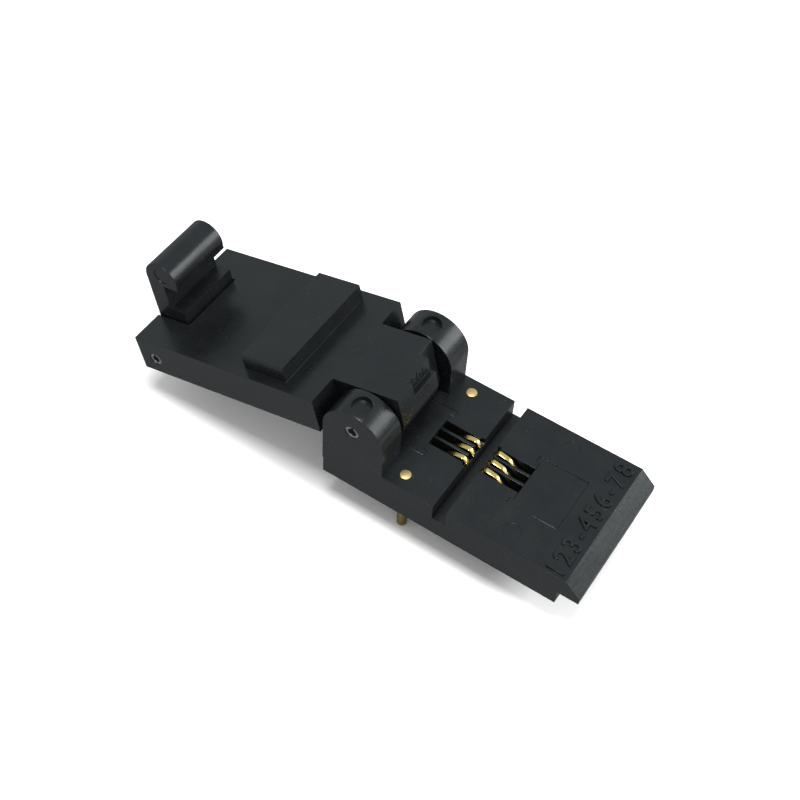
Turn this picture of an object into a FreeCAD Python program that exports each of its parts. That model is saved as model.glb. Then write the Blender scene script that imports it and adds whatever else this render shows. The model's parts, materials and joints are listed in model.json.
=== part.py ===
import FreeCAD, Part
import Sketcher
import math
import os

# Clamshell test socket for a six-lead chip of 0.95 mm pitch, lid swung open past flat.
# Frame: X runs along the base from the hinge to the catch end, Y across it, Z up.
# The origin is on the board face of the base, straight below the middle of the chip.
# Lengths are in millimetres and angles in degrees.

SIZES = [
    ("width", 12.0), ("thick", 3.35), ("rear", 10.42), ("topfront", 10.65), ("front", 11.95),
    ("bevelz", 2.1), ("lipz", 1.47), ("footfront", 10.2),
    ("chanhalf", 0.57), ("chandepth", 1.6),
    ("nestx", 1.72), ("nesty", 3.04), ("nestdepth", 0.6),
    ("pitch", 0.95), ("slotwide", 0.72), ("slotin", 0.7), ("slotout", 7.6), ("slotdepth", 2.55),
    ("tailwide", 0.56), ("tailouter", 7.2), ("tailmiddle", 5.2), ("tailtip", 3.25),
    ("plugin", 3.96), ("plugout", 7.94), ("plugwide", 5.0), ("plugdepth", 1.95), ("plugfit", 0.02),
    ("tabwide", 0.55), ("tablong", 0.32),
    ("postx", 3.77), ("postedge", 1.25), ("postrad", 0.43), ("pegrad", 0.4), ("pegtip", 0.18),
    ("earin", 3.48), ("earcx", 7.8), ("earcz", 6.15), ("earrad", 2.68),
    ("hingex", 7.9), ("hingez", 6.75), ("pinrad", 0.6), ("pinbore", 0.36), ("pinslit", 0.14),
    ("pinshort", 0.1), ("runfit", 0.03),
    ("markrad", 0.8), ("markdepth", 0.12), ("ejectx", 5.32), ("ejectedge", 1.5), ("ejectrad", 0.72),
    ("ejectdepth", 0.04),
    ("droop", 14.7), ("lidin", 1.935), ("lidout", 1.29), ("lidend", 21.02), ("lidshoulder", 3.2),
    ("neckhalf", 3.3), ("neckend", 2.755), ("hubrad", 2.83),
    ("notchx", 1.45), ("notchy", 1.5), ("labelx", 2.25), ("labely", 1.4), ("labeldepth", 1.2),
    ("padnear", 6.23), ("padfar", 10.23), ("padhalf", 5.15), ("padup", 1.455),
    ("latchback", 1.59), ("latchz", 0.1), ("latchhalf", 2.93), ("slotside", 3.0), ("slotlong", 3.3),
    ("latchpin", 0.55), ("lean", 2.3), ("headup", 6.0), ("headrad", 1.55), ("nosedrop", 0.75),
    ("armin", 0.0), ("ledgeup", 3.0), ("ledgeout", 1.45), ("latchhub", 1.3), ("discrad", 0.72),
    ("discdepth", 0.06),
    ("springz", 0.36), ("springhole", 0.55), ("springdeep", 2.6), ("springrad", 0.4),
    ("springwire", 0.08), ("springpitch", 0.44), ("springlong", 2.2), ("springback", 0.1),
    ("stripthick", 0.2), ("stripwide", 0.38),
]

doc = FreeCAD.newDocument("TestSocket")
sheet = doc.addObject("Spreadsheet::Sheet", "Sizes")
for row, (name, value) in enumerate(SIZES, start=1):
    sheet.set("A%d" % row, name)
    sheet.set("B%d" % row, str(value))
    sheet.setAlias("B%d" % row, name)
doc.recompute()


def size(name):
    return float(sheet.get(name))


def expr(text):
    """Turns a formula over size names into an expression that reads the sheet."""
    out = []
    word = ""
    for ch in str(text) + " ":
        if ch.isalpha():
            word += ch
            continue
        if word:
            out.append(word if word in ("sin", "cos", "tan", "sqrt") else "Sizes." + word)
            word = ""
        out.append(ch)
    return "".join(out).strip()


def value(text):
    scope = {name: size(name) for name, _ in SIZES}
    total = 0.0
    for term in str(text).replace("-", "+-").split("+"):
        term = term.strip()
        if not term:
            continue
        sign = 1.0
        if term.startswith("-"):
            sign = -1.0
            term = term[1:].strip()
        product = 1.0
        for part in term.split("*"):
            factor = 1.0
            for i, piece in enumerate(part.split("/")):
                piece = piece.strip()
                number = scope[piece] if piece in scope else float(piece)
                factor = number if i == 0 else factor / number
            product *= factor
        total += sign * product
    return total


def new_body(name):
    body = doc.addObject("PartDesign::Body", name)
    body.Label = name
    return body


def plane_of(body, role):
    return next(f for f in body.Origin.OriginFeatures if f.Role == role)


def new_sketch(body, name, role, offset="0"):
    """A sketch on one of the body's own origin planes, moved along its normal by a formula."""
    sketch = body.newObject("Sketcher::SketchObject", name)
    sketch.AttachmentSupport = [(plane_of(body, role), "")]
    sketch.MapMode = "FlatFace"
    if offset != "0":
        sketch.setExpression("AttachmentOffset.Base.z", expr(offset))
    return sketch


def pin_point(sketch, geo, pos, x, y):
    """Ties one point of the sketch to the origin by two sizes that read the sheet."""
    for kind, text in (("DistanceX", x), ("DistanceY", y)):
        number = value(text)
        index = sketch.addConstraint(Sketcher.Constraint(kind, -1, 1, geo, pos, number))
        sketch.setExpression("Constraints[%d]" % index, expr(text))


def add_polygon(sketch, points):
    """A closed outline of straight lines through points given as pairs of formulas."""
    at = [FreeCAD.Vector(value(x), value(y), 0) for x, y in points]
    first = sketch.GeometryCount
    count = len(at)
    for i in range(count):
        sketch.addGeometry(Part.LineSegment(at[i], at[(i + 1) % count]), False)
    for i in range(count):
        sketch.addConstraint(
            Sketcher.Constraint("Coincident", first + i, 2, first + (i + 1) % count, 1))
    for i, (x, y) in enumerate(points):
        pin_point(sketch, first + i, 1, x, y)


def add_rectangle(sketch, x_low, x_high, y_low, y_high):
    corners = [(x_low, y_low), (x_high, y_low), (x_high, y_high), (x_low, y_high)]
    add_polygon(sketch, corners)


def add_circle(sketch, x, y, radius):
    centre = FreeCAD.Vector(value(x), value(y), 0)
    geo = sketch.addGeometry(Part.Circle(centre, FreeCAD.Vector(0, 0, 1), value(radius)), False)
    pin_point(sketch, geo, 3, x, y)
    index = sketch.addConstraint(Sketcher.Constraint("Radius", geo, value(radius)))
    sketch.setExpression("Constraints[%d]" % index, expr(radius))


def pad(body, name, sketch, length, middle=False, backwards=False):
    feature = body.newObject("PartDesign::Pad", name)
    feature.Profile = sketch
    feature.setExpression("Length", expr(length))
    feature.Length = value(length)
    if middle:
        feature.SideType = "Symmetric"
    feature.Reversed = backwards
    doc.recompute()
    return feature


def pocket(body, name, sketch, length, middle=False, backwards=False):
    """Cuts a pocket and makes sure that it really removed something."""
    before = body.Shape.Volume
    feature = body.newObject("PartDesign::Pocket", name)
    feature.Profile = sketch
    feature.setExpression("Length", expr(length))
    feature.Length = value(length)
    if middle:
        feature.SideType = "Symmetric"
    feature.Reversed = backwards
    doc.recompute()
    if not body.Shape.Volume < before - 1e-6:
        raise RuntimeError("the cut %s removed nothing" % name)
    return feature


def add_box(body, name, x_low, x_high, y_low, y_high, bottom, height):
    sketch = new_sketch(body, name + "Sketch", "XY_Plane", bottom)
    add_rectangle(sketch, x_low, x_high, y_low, y_high)
    return pad(body, name, sketch, height)


def cut_box(body, name, x_low, x_high, y_low, y_high, top, depth):
    sketch = new_sketch(body, name + "Sketch", "XY_Plane", top)
    add_rectangle(sketch, x_low, x_high, y_low, y_high)
    return pocket(body, name, sketch, depth)


# Base moulding

base = new_body("base_body")
outline = new_sketch(base, "BaseOutline", "XZ_Plane")
add_polygon(outline, [
    ("-rear", "0"), ("footfront", "0"), ("footfront", "lipz"), ("front", "lipz"),
    ("front", "bevelz"), ("topfront", "thick"), ("chanhalf", "thick"),
    ("chanhalf", "thick-chandepth"), ("-chanhalf", "thick-chandepth"), ("-chanhalf", "thick"),
    ("-rear", "thick"),
])
pad(base, "BaseSlab", outline, "width", middle=True)

# Two hinge ears with domed tops, flush with the sides of the base.
for side, sign in (("Near", ""), ("Far", "-")):
    centre = "0.25*width+0.5*earin" if not sign else "-0.25*width-0.5*earin"
    foot = new_sketch(base, "EarFoot" + side, "XZ_Plane", centre)
    add_rectangle(foot, "-earcx-earrad", "-earcx+earrad", "0.5*thick", "earcz")
    pad(base, "EarPost" + side, foot, "0.5*width-earin", middle=True)
    dome = new_sketch(base, "EarDome" + side, "XZ_Plane", centre)
    add_circle(dome, "-earcx", "earcz", "earrad")
    pad(base, "EarTop" + side, dome, "0.5*width-earin", middle=True)

bore = new_sketch(base, "HingeBore", "XZ_Plane")
add_circle(bore, "-hingex", "hingez", "pinrad")
pocket(base, "HingeHole", bore, "width+1", middle=True)

# Round sunk mark on the top of each ear.
marks = new_sketch(base, "EarMarks", "XY_Plane", "earcz+earrad")
for sign in ("-", ""):
    add_circle(marks, "-hingex", sign + "0.25*width" + (sign or "+") + "0.5*earin", "markrad")
pocket(base, "EarMarkCut", marks, "0.35+markdepth")

# Ejector marks on the front half of the top face.
ejects = new_sketch(base, "EjectorMarks", "XY_Plane", "thick")
for across in ("-0.5*width+ejectedge", "0.5*width-ejectedge"):
    add_circle(ejects, "ejectx", across, "ejectrad")
pocket(base, "EjectorCut", ejects, "ejectdepth")

# Nest for the chip's body, over the cross channel.
cut_box(base, "ChipNest", "-0.5*nestx", "0.5*nestx", "-0.5*nesty", "0.5*nesty", "thick", "nestdepth")

# Three contact slots and three tail holes on each side of the chip.
SIDES = (("Front", ""), ("Rear", "-"))
for side, sign in SIDES:
    plus = "-" if sign else "+"
    slots = new_sketch(base, "Slots" + side, "XY_Plane", "thick")
    tails = new_sketch(base, "Tails" + side, "XY_Plane", "thick")
    for lane in (-1, 0, 1):
        low = "%d*pitch-0.5*slotwide" % lane
        high = "%d*pitch+0.5*slotwide" % lane
        ends = [sign + "slotin", sign + "slotout"]
        if sign:
            ends.reverse()
        add_rectangle(slots, ends[0], ends[1], low, high)
        spot = "tailmiddle" if lane == 0 else "tailouter"
        t_low = "%d*pitch-0.5*tailwide" % lane
        t_high = "%d*pitch+0.5*tailwide" % lane
        add_rectangle(tails, sign + spot + "-0.5*tailwide", sign + spot + "+0.5*tailwide",
                      t_low, t_high)
    pocket(base, "SlotCut" + side, slots, "slotdepth")
    pocket(base, "TailCut" + side, tails, "thick+1")
    ends = [sign + "plugin", sign + "plugout"]
    if sign:
        ends.reverse()
    cut_box(base, "PlugSeat" + side, ends[0], ends[1], "-0.5*plugwide", "0.5*plugwide",
            "thick", "plugdepth")
    # Two corner reliefs for the tabs of the plug, on its slot side.
    tabs = new_sketch(base, "TabSeats" + side, "XY_Plane", "thick")
    near = sign + "plugin" + ("+" if sign else "-") + "tablong"
    ends = [near, sign + "plugin" + ("-" if sign else "+") + "0.1"]
    if sign:
        ends.reverse()
    add_rectangle(tabs, ends[0], ends[1], "0.5*plugwide-tabwide", "0.5*plugwide")
    add_rectangle(tabs, ends[0], ends[1], "-0.5*plugwide", "-0.5*plugwide+tabwide")
    pocket(base, "TabSeatCut" + side, tabs, "0.5*plugdepth")

# Bores of the two board posts.
holes = new_sketch(base, "PostBores", "XY_Plane", "thick")
for across in ("-0.5*width+postedge", "0.5*width-postedge"):
    add_circle(holes, "-postx", across, "postrad")
pocket(base, "PostBoreCut", holes, "thick+1")

# Retainer plugs, pressed in over the roots of the contacts.

for side, sign in SIDES:
    body = new_body("retainer_plug_" + side.lower())
    ends = [sign + "plugin" + ("-" if sign else "+") + "plugfit",
            sign + "plugout" + ("+" if sign else "-") + "plugfit"]
    if sign:
        ends.reverse()
    add_box(body, "Plug" + side, ends[0], ends[1], "-0.5*plugwide+plugfit", "0.5*plugwide-plugfit",
            "thick-plugdepth", "plugdepth-0.02")
    reach = [sign + "plugin" + ("+" if sign else "-") + "tablong" + ("-" if sign else "+") + "plugfit",
             sign + "plugin" + ("-" if sign else "+") + "0.1"]
    if sign:
        reach.reverse()
    ears = new_sketch(body, "PlugTabs" + side, "XY_Plane", "thick-0.5*plugdepth")
    add_rectangle(ears, reach[0], reach[1], "0.5*plugwide-tabwide+plugfit", "0.5*plugwide-plugfit")
    add_rectangle(ears, reach[0], reach[1], "-0.5*plugwide+plugfit", "-0.5*plugwide+tabwide-plugfit")
    pad(body, "PlugTabPad" + side, ears, "0.5*plugdepth-0.02")

# Gold board posts, flush in the top, with a thinner peg below the board face.
for name, across in (("board_post_near", "-0.5*width+postedge"),
                     ("board_post_far", "0.5*width-postedge")):
    body = new_body(name)
    head = new_sketch(body, name + "_head", "XY_Plane")
    add_circle(head, "-postx", across, "postrad")
    pad(body, name + "_shank", head, "thick+0.02")
    foot = new_sketch(body, name + "_foot", "XY_Plane", "-tailtip")
    add_circle(foot, "-postx", across, "pegrad")
    peg = pad(body, name + "_peg", foot, "tailtip")
    edge = min(range(len(peg.Shape.Edges)),
               key=lambda i: peg.Shape.Edges[i].CenterOfMass.z) + 1
    tip = body.newObject("PartDesign::Chamfer", name + "_tip")
    tip.Base = (peg, ["Edge%d" % edge])
    tip.setExpression("Size", expr("pegtip"))
    doc.recompute()


def rounded_path(points, radii):
    """A wire of straight runs joined by tangent arcs, in the plane of X and Z."""
    at = [FreeCAD.Vector(x, 0, z) for x, z in points]
    edges = []
    start = at[0]
    for i in range(1, len(at) - 1):
        back = (at[i - 1] - at[i]).normalize()
        ahead = (at[i + 1] - at[i]).normalize()
        half = back.getAngle(ahead) / 2
        reach = radii[i - 1] / math.tan(half)
        enter = at[i] + back * reach
        leave = at[i] + ahead * reach
        middle_way = (back + ahead).normalize()
        centre = at[i] + middle_way * (radii[i - 1] / math.sin(half))
        crown = centre - middle_way * radii[i - 1]
        edges.append(Part.LineSegment(start, enter).toShape())
        edges.append(Part.Arc(enter, crown, leave).toShape())
        start = leave
    edges.append(Part.LineSegment(start, at[-1]).toShape())
    return Part.Wire(edges)


def contact_shape(lane, sign):
    """One formed strip: curled tip, spring arm, root on the slot floor and tail to the board."""
    top = size("thick")
    thick = size("stripthick")
    wide = size("stripwide")
    tail = size("tailmiddle") if lane == 0 else size("tailouter")
    floor = top - size("slotdepth") + thick / 2 + 0.01
    line = [(0.60, top - 0.42), (1.02, top + 0.02), (1.95, top - 0.16), (3.15, top - 1.25),
            (3.9, floor), (tail, floor), (tail, -size("tailtip"))]
    radii = [0.22, 0.9, 0.8, 0.5, 0.25]
    path = rounded_path(line, radii)
    inner = path.makeOffset2D(thick / 2, 0, False, True, False)
    outer = path.makeOffset2D(-thick / 2, 0, False, True, False)
    ends = []
    for a, b in ((inner.OrderedVertexes[0], outer.OrderedVertexes[0]),
                 (inner.OrderedVertexes[-1], outer.OrderedVertexes[-1])):
        ends.append((a.Point, b.Point))
    if ends[0][0].distanceToPoint(ends[0][1]) > 2 * thick:
        ends = [(inner.OrderedVertexes[0].Point, outer.OrderedVertexes[-1].Point),
                (inner.OrderedVertexes[-1].Point, outer.OrderedVertexes[0].Point)]
    caps = [Part.LineSegment(a, b).toShape() for a, b in ends]
    face = Part.Face(Part.Wire(Part.__sortEdges__(inner.Edges + outer.Edges + caps)))
    strip = face.extrude(FreeCAD.Vector(0, wide, 0))
    strip.translate(FreeCAD.Vector(0, lane * size("pitch") - wide / 2, 0))
    if sign:
        strip = strip.mirror(FreeCAD.Vector(0, 0, 0), FreeCAD.Vector(1, 0, 0))
    return strip


for side, sign in SIDES:
    for number, lane in enumerate((-1, 0, 1), start=1):
        name = "contact_%s_%d" % (side.lower(), number)
        strip = doc.addObject("Part::Feature", name)
        strip.Label = name
        strip.Shape = contact_shape(lane, sign)


def roll_pin(name, radius, x, z, placement):
    """A rolled steel spring pin: a tube with one slit, lying along Y."""
    long = size("width") - size("pinshort")
    half = FreeCAD.Vector(0, long / 2, 0)
    rod = doc.addObject("Part::Cylinder", name + "_rod")
    core = doc.addObject("Part::Cylinder", name + "_core")
    for item, text in ((rod, radius), (core, radius + "*pinbore/pinrad")):
        item.setExpression("Radius", expr(text))
        item.setExpression("Height", expr("width-pinshort"))
    slit = doc.addObject("Part::Box", name + "_slit")
    slit.setExpression("Length", expr("pinslit"))
    slit.setExpression("Width", expr(radius + "+1"))
    slit.setExpression("Height", expr("width-pinshort"))
    slit.setExpression("Placement.Base.x", expr("-0.5*pinslit"))
    tube = doc.addObject("Part::Cut", name + "_tube")
    tube.Base = rod
    tube.Tool = core
    pin = doc.addObject("Part::Cut", name)
    pin.Base = tube
    pin.Tool = slit
    pin.Label = name
    turn = FreeCAD.Rotation(FreeCAD.Vector(1, 0, 0), 90)
    lie = FreeCAD.Placement(FreeCAD.Vector(x, 0, z) + half, turn)
    pin.Placement = placement.multiply(lie)
    doc.recompute()
    return pin


here = FreeCAD.Placement()
hinge_at = FreeCAD.Vector(-size("hingex"), 0, size("hingez"))
lid_place = FreeCAD.Placement(hinge_at, FreeCAD.Rotation(FreeCAD.Vector(0, 1, 0), -size("droop")))
latch_at = FreeCAD.Vector(size("latchback") - size("lidend"), 0, size("latchz"))
latch_place = lid_place.multiply(
    FreeCAD.Placement(latch_at, FreeCAD.Rotation(FreeCAD.Vector(0, 1, 0), size("lean"))))

roll_pin("hinge_pin", "pinrad", -size("hingex"), size("hingez"), here)
roll_pin("latch_pin", "latchpin", latch_at.x, latch_at.z, lid_place)

# Lid moulding, drawn flat with its hinge axis at the origin and then swung to its stop.

lid = new_body("lid")
slab = new_sketch(lid, "LidOutline", "XZ_Plane")
add_rectangle(slab, "-lidend", "-lidshoulder", "-lidout", "lidin")
pad(lid, "LidSlab", slab, "width", middle=True)
neck = new_sketch(lid, "NeckOutline", "XZ_Plane")
add_rectangle(neck, "-lidshoulder-0.5", "neckend", "-0.65", "lidin")
pad(lid, "Neck", neck, "2*neckhalf", middle=True)
hub = new_sketch(lid, "HubOutline", "XZ_Plane")
add_circle(hub, "0", "0", "hubrad")
pad(lid, "Hub", hub, "2*neckhalf", middle=True)
crown = new_sketch(lid, "HubCrown", "XZ_Plane")
add_rectangle(crown, "-lidshoulder", "hubrad+1", "lidin", "hubrad+1")
pocket(lid, "HubCrownCut", crown, "2*neckhalf+1", middle=True)
flat = new_sketch(lid, "NeckEnd", "XZ_Plane")
add_rectangle(flat, "neckend", "hubrad+1", "-hubrad", "hubrad")
pocket(lid, "NeckEndCut", flat, "2*neckhalf+1", middle=True)
eye = new_sketch(lid, "HingeEye", "XZ_Plane")
add_circle(eye, "0", "0", "pinrad+runfit")
pocket(lid, "HingeEyeCut", eye, "width+1", middle=True)

# Notch in the far corner of the neck and the shallow bare panel in its end.
cut_box(lid, "NeckNotch", "notchx", "neckend+1", "notchy", "neckhalf+1", "lidin", "lidin+hubrad")
cut_box(lid, "LabelPanel", "labelx", "neckend+1", "-labely", "notchy+0.1", "lidin", "labeldepth")

# Raised pressure pad that holds the chip down on its contacts.
add_box(lid, "PressurePad", "-padfar", "-padnear", "-padhalf", "padhalf", "lidin", "padup")

# Slot for the latch, open at the end of the lid, with a blind hole for its spring.
cut_box(lid, "LatchSlot", "-lidend-1", "-lidend+slotlong", "-slotside", "slotside",
        "lidin+1", "lidin+lidout+2")
cheek = new_sketch(lid, "LatchPinBore", "XZ_Plane")
add_circle(cheek, "-lidend+latchback", "latchz", "latchpin")
pocket(lid, "LatchPinHole", cheek, "width+1", middle=True)
blind = new_sketch(lid, "SpringHole", "YZ_Plane", "-lidend+slotlong")
add_circle(blind, "0", "-springz", "springhole")
pocket(lid, "SpringHoleCut", blind, "springdeep", backwards=True)
lid.Placement = lid_place

# Latch, drawn upright with its pin axis at the origin.

latch = new_body("latch")
arm = new_sketch(latch, "ArmOutline", "XZ_Plane")
add_polygon(arm, [
    ("-headrad", "-0.35"), ("0", "-0.35"), ("ledgeout", "-0.1"), ("ledgeout", "ledgeup"),
    ("armin", "ledgeup"), ("armin", "headup"), ("-headrad", "headup"),
])
pad(latch, "Arm", arm, "2*latchhalf", middle=True)
boss = new_sketch(latch, "BossOutline", "XZ_Plane")
add_circle(boss, "0", "0", "latchhub")
pad(latch, "Boss", boss, "2*latchhalf", middle=True)
head = new_sketch(latch, "HeadOutline", "XZ_Plane")
add_circle(head, "0", "headup", "headrad")
pad(latch, "Head", head, "2*latchhalf", middle=True)
nose = new_sketch(latch, "NoseBlock", "XZ_Plane")
add_rectangle(nose, "armin-0.2", "headrad-0.05", "headup-nosedrop", "headup")
pad(latch, "Nose", nose, "2*latchhalf", middle=True)
under = new_sketch(latch, "NoseUnder", "XZ_Plane")
add_rectangle(under, "armin", "headrad+0.5", "ledgeup+0.6", "headup-nosedrop")
pocket(latch, "NoseUnderCut", under, "2*latchhalf+1", middle=True)
hole = new_sketch(latch, "LatchEye", "XZ_Plane")
add_circle(hole, "0", "0", "latchpin+runfit")
pocket(latch, "LatchEyeCut", hole, "width+1", middle=True)
discs = new_sketch(latch, "HeadDisc", "XZ_Plane", "latchhalf")
add_circle(discs, "0.1", "headup+0.35", "discrad")
pocket(latch, "HeadDiscCut", discs, "discdepth")
latch.Placement = latch_place

# Coil spring of square wire in the blind hole, drawn at its shortest.


def coil_shape(steps=12):
    """A closed skin of flat facets round a square wire that climbs by one pitch each turn."""
    wire = size("springwire")
    up = FreeCAD.Vector(0, 0, wire)
    count = int(round(steps * size("springlong") / size("springpitch")))
    rings = []
    for i in range(count + 1):
        turn = 2 * math.pi * i / steps
        out = FreeCAD.Vector(math.cos(turn), math.sin(turn), 0)
        mid = out * size("springrad") + FreeCAD.Vector(0, 0, size("springpitch") * i / steps)
        rings.append([mid + out * wire + up, mid - out * wire + up,
                      mid - out * wire - up, mid + out * wire - up])
    loops = [rings[0], rings[-1]]
    for near, far in zip(rings, rings[1:]):
        for k in range(4):
            n = (k + 1) % 4
            loops += [[near[k], near[n], far[k]], [near[n], far[n], far[k]]]
    skin = Part.Shell([Part.Face(Part.makePolygon(loop + loop[:1])) for loop in loops])
    skin.sewShape()
    return Part.Solid(skin)


spring = doc.addObject("Part::Feature", "latch_spring")
spring.Label = "latch_spring"
spring.Shape = coil_shape()
spring_at = FreeCAD.Placement(
    FreeCAD.Vector(size("slotlong") - size("lidend") + size("springback"), 0, -size("springz")),
    FreeCAD.Rotation(FreeCAD.Vector(0, 1, 0), 90))
spring.Placement = lid_place.multiply(spring_at)

doc.recompute()

NODES = ["base_body", "retainer_plug_front", "retainer_plug_rear", "board_post_near",
         "board_post_far", "hinge_pin", "latch_pin", "lid", "latch", "latch_spring"]
NODES += ["contact_%s_%d" % (side.lower(), n) for side, _ in SIDES for n in (1, 2, 3)]

for item in doc.Objects:
    if "Invalid" in item.State or "Error" in item.State:
        raise RuntimeError("%s failed to build" % item.Name)

os.makedirs("parts", exist_ok=True)
for name in NODES:
    found = [item for item in doc.Objects if item.Label == name]
    if len(found) != 1:
        raise RuntimeError("%s is not there once" % name)
    shape = found[0].Shape
    if shape.isNull() or not shape.isValid():
        raise RuntimeError("%s has a bad shape" % name)
    if len(shape.Solids) != 1:
        raise RuntimeError("%s has %d solids" % (name, len(shape.Solids)))
    shape.exportStep("parts/%s.step" % name)
    box = shape.BoundBox
    print("%-22s %9.3f mm3  x %.2f %.2f  y %.2f %.2f  z %.2f %.2f" % (
        name, shape.Volume, box.XMin, box.XMax, box.YMin, box.YMax, box.ZMin, box.ZMax))
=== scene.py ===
"""Looks, light and camera of the open IC test socket. Lengths are in millimetres unless a name says otherwise."""
import json
import math

import bpy
from mathutils import Matrix, Vector


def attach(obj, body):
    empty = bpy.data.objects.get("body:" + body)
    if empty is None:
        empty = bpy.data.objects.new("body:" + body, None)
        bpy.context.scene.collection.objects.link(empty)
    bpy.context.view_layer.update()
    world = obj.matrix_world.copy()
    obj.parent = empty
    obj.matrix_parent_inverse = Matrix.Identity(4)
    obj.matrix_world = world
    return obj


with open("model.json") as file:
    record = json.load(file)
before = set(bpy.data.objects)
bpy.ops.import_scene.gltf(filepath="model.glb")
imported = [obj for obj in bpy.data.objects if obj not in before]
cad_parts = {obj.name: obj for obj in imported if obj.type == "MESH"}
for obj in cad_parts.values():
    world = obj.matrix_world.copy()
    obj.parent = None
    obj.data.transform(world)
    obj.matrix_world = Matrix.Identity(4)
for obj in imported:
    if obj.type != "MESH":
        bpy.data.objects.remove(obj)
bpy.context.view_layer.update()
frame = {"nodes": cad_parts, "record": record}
nodes = frame["nodes"]

MM = 0.001
SHARP_ANGLE = math.radians(32)


# ---------------------------------------------------------------- node helpers
class Web:
    """A material's or world's node tree, with short ways to add nodes and join them."""

    def __init__(self, name, world=None):
        self.owner = world if world is not None else bpy.data.materials.new(name)
        self.owner.use_nodes = True
        self.tree = self.owner.node_tree
        self.tree.nodes.clear()

    def put(self, node, key, val):
        """Joins a socket or a node to an input, or sets the input to a value."""
        target = node.inputs[key]
        if isinstance(val, bpy.types.NodeSocket):
            self.tree.links.new(val, target)
        elif isinstance(val, bpy.types.Node):
            self.tree.links.new(val.outputs[0], target)
        else:
            target.default_value = val

    def add(self, kind, settings=None, **inputs):
        node = self.tree.nodes.new(kind)
        for key, val in (settings or {}).items():
            setattr(node, key, val)
        for key, val in inputs.items():
            self.put(node, key.replace("_", " "), val)
        return node

    def sum(self, a, b):
        return self.arithmetic("ADD", a, b)

    def product(self, a, b):
        return self.arithmetic("MULTIPLY", a, b)

    def arithmetic(self, operation, a, b):
        node = self.add("ShaderNodeMath", {"operation": operation})
        self.put(node, 0, a)
        self.put(node, 1, b)
        return node.outputs[0]

    def ramp(self, fac, low, high, out_low=0.0, out_high=1.0):
        """Carries low..high over to out_low..out_high and stays within them."""
        node = self.add("ShaderNodeMapRange", {"clamp": True})
        for key, val in enumerate((fac, low, high, out_low, out_high)):
            self.put(node, key, val)
        return node.outputs[0]

    def noise(self, where, scale, detail, rough):
        return self.add("ShaderNodeTexNoise", None, Vector=where, Scale=scale, Detail=detail,
                        Roughness=rough).outputs[0]

    def stretched_noise(self, where, scales, detail, rough, turn=0.0):
        """Noise with its own scale along each axis, turned about Z."""
        moved = self.add("ShaderNodeMapping", None, Vector=where, Scale=scales, Rotation=(0.0, 0.0, turn))
        return self.noise(moved.outputs[0], 1.0, detail, rough)

    def mix(self, fac, a, b):
        node = self.add("ShaderNodeMix", {"data_type": "RGBA"})
        for key, val in ((0, fac), (6, a), (7, b)):
            self.put(node, key, val)
        return node.outputs[2]

    def place(self):
        return self.add("ShaderNodeTexCoord").outputs["Object"]


# ---------------------------------------------------------------- black moulded plastic
PLASTIC_DEEP = (0.0035, 0.0042, 0.0048, 1)
PLASTIC_FADED = (0.0075, 0.0085, 0.0095, 1)
PLASTIC_IOR = 1.48
PLASTIC_TINT = (0.93, 0.99, 1.0, 1)
DUST_COLOUR = (0.16, 0.16, 0.15, 1)
DUST_AMOUNT = 0.16
# Paler streaks on the slope that faces up and forward: scuffing together with a painted highlight.
SCUFF_AND_HIGHLIGHT_COLOUR = (0.036, 0.038, 0.040, 1)
SCUFF_AND_HIGHLIGHT_AMOUNT = 0.30
POLISH = (0.22, 0.30)
STREAK_ROUGHNESS = 0.06
# Painted shade in crevices: how far the occlusion looks, and the shine left in a crevice and in the open.
CREVICE_REACH_M = 0.00016
CREVICE_SHEEN = 0.12
OPEN_SHEEN = 0.5


def dust_specks(web, where):
    """Small specks that lie in loose patches."""
    specks = web.ramp(web.noise(where, 5200.0, 1.0, 0.4), 0.70, 0.78)
    patches = web.ramp(web.noise(where, 330.0, 2.0, 0.5), 0.45, 0.7)
    return web.product(web.product(specks, patches), DUST_AMOUNT)


def scuffed_slope_and_highlight(web, where):
    """Pale streaks along Y, only on faces that slope up and forward, as the chamfer does: partly scuffing, partly
    a painted highlight for the bright sheen of that slope.
    """
    normal = web.add("ShaderNodeSeparateXYZ", None, Vector=web.add("ShaderNodeTexCoord").outputs["Normal"])
    leaning = web.product(web.ramp(normal.outputs["X"], 0.55, 0.65), web.ramp(normal.outputs["Z"], 0.25, 0.35))
    streaks = web.ramp(web.stretched_noise(where, (5200.0, 420.0, 5200.0), 3.0, 0.6), 0.40, 0.66)
    return web.product(web.product(leaning, streaks), SCUFF_AND_HIGHLIGHT_AMOUNT)


def plastic_roughness(web, where, cloud):
    streaks = web.stretched_noise(where, (300.0, 6000.0, 6000.0), 2.0, 0.5, turn=0.35)
    return web.sum(web.ramp(cloud, 0.3, 0.7, *POLISH), web.ramp(streaks, 0.62, 0.75, 0.0, STREAK_ROUGHNESS))


def plastic_relief(web, where):
    """A fine grain over a slow wave, as on a moulded face."""
    grain = web.noise(where, 9000.0, 3.0, 0.6)
    flow = web.stretched_noise(where, (260.0, 900.0, 500.0), 3.0, 0.6)
    fine = web.add("ShaderNodeBump", None, Strength=0.22, Distance=0.00002, Height=grain)
    return web.add("ShaderNodeBump", None, Strength=0.12, Distance=0.00012, Height=flow, Normal=fine)


def painted_crevice_shade(web):
    """Painted shade: less shine down in seams and at the foot of raised marks, wherever ambient occlusion finds
    them closed in.
    """
    openness = web.add("ShaderNodeAmbientOcclusion", {"samples": 8}, Distance=CREVICE_REACH_M).outputs["AO"]
    return web.ramp(openness, 0.45, 0.90, CREVICE_SHEEN, OPEN_SHEEN)


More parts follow.
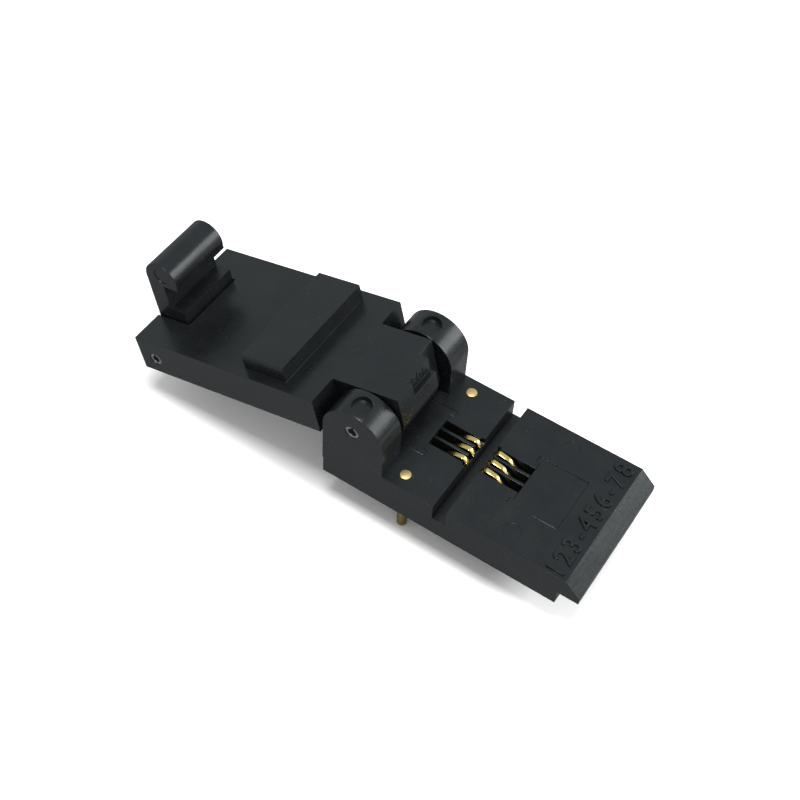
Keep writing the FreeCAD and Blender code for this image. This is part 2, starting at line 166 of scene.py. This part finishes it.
def black_plastic():
    web = Web("black_plastic")
    where = web.place()
    cloud = web.noise(where, 420.0, 4.0, 0.55)
    base = web.mix(cloud, PLASTIC_DEEP, PLASTIC_FADED)
    base = web.mix(dust_specks(web, where), base, DUST_COLOUR)
    # Painted highlight with scuffing, laid on the slope that faces up and forward.
    base = web.mix(scuffed_slope_and_highlight(web, where), base, SCUFF_AND_HIGHLIGHT_COLOUR)
    # The specular level is lowered by ambient occlusion, which paints shade into the seams.
    shade = web.add("ShaderNodeBsdfPrincipled", None, Base_Color=base, IOR=PLASTIC_IOR,
                    Roughness=plastic_roughness(web, where, cloud), Specular_IOR_Level=painted_crevice_shade(web),
                    Specular_Tint=PLASTIC_TINT, Normal=plastic_relief(web, where))
    web.add("ShaderNodeOutputMaterial", None, Surface=shade)
    return web.owner


# ---------------------------------------------------------------- metals
def cloudy_metal(name, scales, dark, light, rough_low, rough_high):
    """A metal whose colour and roughness drift with one soft noise."""
    web = Web(name)
    cloud = web.stretched_noise(web.place(), scales, 3.0, 0.6)
    shade = web.add("ShaderNodeBsdfPrincipled", None, Base_Color=web.mix(cloud, dark, light), Metallic=1.0,
                    Roughness=web.ramp(cloud, 0.3, 0.7, rough_low, rough_high))
    web.add("ShaderNodeOutputMaterial", None, Surface=shade)
    return web.owner


def gold():
    """The bright plating of the contacts."""
    return cloudy_metal("gold", (900.0, 900.0, 900.0), (0.95, 0.66, 0.17, 1), (1.0, 0.82, 0.34, 1), 0.16, 0.28)


def pale_gold():
    """The duller plating of the board posts."""
    return cloudy_metal("pale_gold", (1500.0, 1500.0, 1500.0), (0.70, 0.52, 0.20, 1), (0.86, 0.68, 0.32, 1),
                        0.42, 0.42)


def steel():
    """Rolled steel, drawn out along Y."""
    return cloudy_metal("steel", (900.0, 4000.0, 900.0), (0.30, 0.29, 0.27, 1), (0.55, 0.54, 0.51, 1), 0.28, 0.45)


MATERIALS = {"black_plastic": black_plastic(), "gold": gold(), "steel": steel()}
POST_GOLD = pale_gold()
SLOT_OF = {part["node"]: part["material_slot"] for part in frame["record"]["subparts"]}

# ---------------------------------------------------------------- edges
BODY_EDGE = 0.05
LID_EDGE = 0.07
PLUG_EDGE = 0.035
POST_EDGE = 0.02
METAL_EDGE = 0.03
EDGE_WIDTH = {"base_body": BODY_EDGE, "lid": LID_EDGE, "latch": LID_EDGE}
WELD_DISTANCE_M = 1e-6
FLAT_ANGLE = math.radians(0.6)


def edge_width(name):
    if name.startswith("retainer_plug"):
        return PLUG_EDGE
    if name.startswith("board_post"):
        return POST_EDGE
    return EDGE_WIDTH.get(name, METAL_EDGE)


def smooth_group():
    """Geometry nodes that shade a mesh smooth apart from its sharp edges."""
    tree = bpy.data.node_groups.new("SmoothByAngle", "GeometryNodeTree")
    for in_out in ("INPUT", "OUTPUT"):
        tree.interface.new_socket("Geometry", in_out=in_out, socket_type="NodeSocketGeometry")
    start = tree.nodes.new("NodeGroupInput")
    end = tree.nodes.new("NodeGroupOutput")
    face = tree.nodes.new("GeometryNodeSetShadeSmooth")
    face.domain = "FACE"
    edge = tree.nodes.new("GeometryNodeSetShadeSmooth")
    edge.domain = "EDGE"
    edge.inputs["Shade Smooth"].default_value = False
    angle = tree.nodes.new("GeometryNodeInputMeshEdgeAngle")
    over = tree.nodes.new("FunctionNodeCompare")
    over.data_type = "FLOAT"
    over.operation = "GREATER_THAN"
    over.inputs[1].default_value = SHARP_ANGLE
    tree.links.new(start.outputs[0], face.inputs["Geometry"])
    tree.links.new(face.outputs[0], edge.inputs["Geometry"])
    tree.links.new(angle.outputs[0], over.inputs[0])
    tree.links.new(over.outputs[0], edge.inputs["Selection"])
    tree.links.new(edge.outputs[0], end.inputs[0])
    return tree


SMOOTH = smooth_group()


def soften(obj, width):
    """Joins the facets of flat faces, rounds the edges a little and shades the piece evenly."""
    weld = obj.modifiers.new("Weld", "WELD")
    weld.merge_threshold = WELD_DISTANCE_M
    flat = obj.modifiers.new("Flat", "DECIMATE")
    flat.decimate_type = "DISSOLVE"
    flat.angle_limit = FLAT_ANGLE
    bevel = obj.modifiers.new("Bevel", "BEVEL")
    bevel.width = width * MM
    bevel.segments = 2
    bevel.limit_method = "ANGLE"
    bevel.angle_limit = SHARP_ANGLE
    bevel.use_clamp_overlap = True
    bevel.harden_normals = False
    smooth = obj.modifiers.new("Smooth", "NODES")
    smooth.node_group = SMOOTH
    even = obj.modifiers.new("Even", "WEIGHTED_NORMAL")
    even.mode = "FACE_AREA"
    even.weight = 100
    even.keep_sharp = True


for name, obj in nodes.items():
    obj.data.materials.clear()
    obj.data.materials.append(POST_GOLD if name.startswith("board_post") else MATERIALS[SLOT_OF[name]])
    if name != "latch_spring":
        soften(obj, edge_width(name))

# ---------------------------------------------------------------- moulded numerals
NUMERAL_SINK = 0.02
NUMERAL_EDGE = 0.02
STROKE_GROWTH = 0.015
DIGIT_SHARE = 0.70


def numerals(name, text, height, relief, matrix, body, spacing):
    """Plain raised numerals, centred on the matrix's origin and written along its X axis."""
    curve = bpy.data.curves.new(name + "_outline", "FONT")
    curve.body = text
    curve.align_x = "CENTER"
    curve.align_y = "CENTER"
    curve.size = height / DIGIT_SHARE * MM
    curve.space_character = spacing
    curve.extrude = (relief + NUMERAL_SINK - NUMERAL_EDGE) * MM
    curve.bevel_depth = NUMERAL_EDGE * MM
    curve.bevel_resolution = 1
    curve.offset = STROKE_GROWTH * MM
    draft = bpy.data.objects.new(name + "_draft", curve)
    bpy.context.scene.collection.objects.link(draft)
    bpy.context.view_layer.update()
    mesh = bpy.data.meshes.new_from_object(draft)
    bpy.data.objects.remove(draft)
    obj = bpy.data.objects.new(name, mesh)
    bpy.context.scene.collection.objects.link(obj)
    mesh.transform(matrix)
    mesh.materials.clear()
    mesh.materials.append(MATERIALS["black_plastic"])
    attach(obj, body)


BASE_TOP = 3.35
BASE_ROW = Vector((9.6, -0.2, BASE_TOP - NUMERAL_SINK))
on_base = Matrix.Translation(BASE_ROW * MM) @ Matrix.Rotation(math.radians(90), 4, "Z")
numerals("base_numerals", "123-456-78", 1.45, 0.13, on_base, "base", 1.22)

HINGE = Vector((-7.9, 0, 6.75))
DROOP = math.radians(14.7)
PANEL_X = 2.25
NECK_ROW = Vector((PANEL_X - NUMERAL_SINK, 0.05, 1.33))
lid_frame = Matrix.Translation(HINGE * MM) @ Matrix.Rotation(-DROOP, 4, "Y")
upright = Matrix(((0, 0, 1, 0), (1, 0, 0, 0), (0, 1, 0, 0), (0, 0, 0, 1)))
on_neck = lid_frame @ Matrix.Translation(NECK_ROW * MM) @ upright
numerals("neck_numerals", "901", 0.8, 0.05, on_neck, "lid_body", 1.1)

# ---------------------------------------------------------------- floor and backdrop
FLOOR_Z = -3.25
FLOOR_SIZE_M = 1.6
FLOOR_COLOUR = (0.93, 0.93, 0.93, 1)
FLOOR_IN_MIRROR = (0.190, 0.197, 0.203, 1)


def floor_material():
    """White card, which shiny faces see darker, as they see a real set's dark surroundings."""
    web = Web("floor")
    path = web.add("ShaderNodeLightPath")
    tone = web.mix(path.outputs["Is Glossy Ray"], FLOOR_COLOUR, FLOOR_IN_MIRROR)
    web.add("ShaderNodeOutputMaterial", None, Surface=web.add("ShaderNodeBsdfDiffuse", None, Color=tone))
    return web.owner


bpy.ops.mesh.primitive_plane_add(size=FLOOR_SIZE_M, location=(0, 0, FLOOR_Z * MM))
floor = bpy.context.object
floor.name = "floor"
floor.data.materials.append(floor_material())

# ---------------------------------------------------------------- light
SKY_SEEN = 0.51
SKY_SPREAD = 0.75
SKY_IN_MIRROR = (0.92, 1.0, 1.015, 1)
WHITE = (1, 1, 1, 1)


def sky():
    """An even white room, stronger for the light that it spreads than for how it looks."""
    world = bpy.data.worlds.new("World")
    bpy.context.scene.world = world
    web = Web("World", world)
    path = web.add("ShaderNodeLightPath")
    strength = web.ramp(path.outputs["Is Diffuse Ray"], 0.0, 1.0, SKY_SEEN, SKY_SPREAD)
    tint = web.mix(path.outputs["Is Glossy Ray"], WHITE, SKY_IN_MIRROR)
    room = web.add("ShaderNodeBackground", None, Color=tint, Strength=strength)
    web.add("ShaderNodeOutputWorld", None, Surface=room)


def area_light(name, place, aim, wide, tall, watts):
    data = bpy.data.lights.new(name, "AREA")
    data.shape = "RECTANGLE"
    data.size = wide * MM
    data.size_y = tall * MM
    data.energy = watts
    obj = bpy.data.objects.new(name, data)
    bpy.context.scene.collection.objects.link(obj)
    obj.location = Vector(place) * MM
    obj.rotation_mode = "QUATERNION"
    obj.rotation_quaternion = (Vector(aim) - Vector(place)).to_track_quat("-Z", "Y")
    return obj


sky()
area_light("overhead", (-8, -60, 595), (-8, 0, 0), 190, 190, 2.7)
area_light("fill", (420, 60, 330), (-8, 0, 0), 200, 200, 2.6).visible_glossy = False
area_light("window", (258, 239, 183), (-8, 0, 3), 170, 230, 0.55).visible_diffuse = False

# ---------------------------------------------------------------- camera
LENS = 63.9986
SENSOR = 36.0
NEAREST_M = 0.005
FARTHEST_M = 5.0
CAMERA_PLACE_M = Vector((0.0254933, -0.0578172, 0.0907768))
CAMERA_RIGHT = Vector((0.8361764599, 0.5464514251, 0.0469016835))
CAMERA_DOWN = Vector((0.4572736905, -0.6473825860, -0.6097512274))
CAMERA_AHEAD = Vector((-0.3028360940, 0.5313065285, -0.7912039388))

cam_data = bpy.data.cameras.new("camera")
cam_data.sensor_width = SENSOR
cam_data.lens = LENS
cam_data.clip_start = NEAREST_M
cam_data.clip_end = FARTHEST_M
camera = bpy.data.objects.new("camera", cam_data)
bpy.context.scene.collection.objects.link(camera)
axes = Matrix((CAMERA_RIGHT, -CAMERA_DOWN, -CAMERA_AHEAD)).transposed()
camera.matrix_world = Matrix.Translation(CAMERA_PLACE_M) @ axes.to_4x4()
bpy.context.scene.camera = camera
bpy.context.scene.view_settings.view_transform = "Standard"
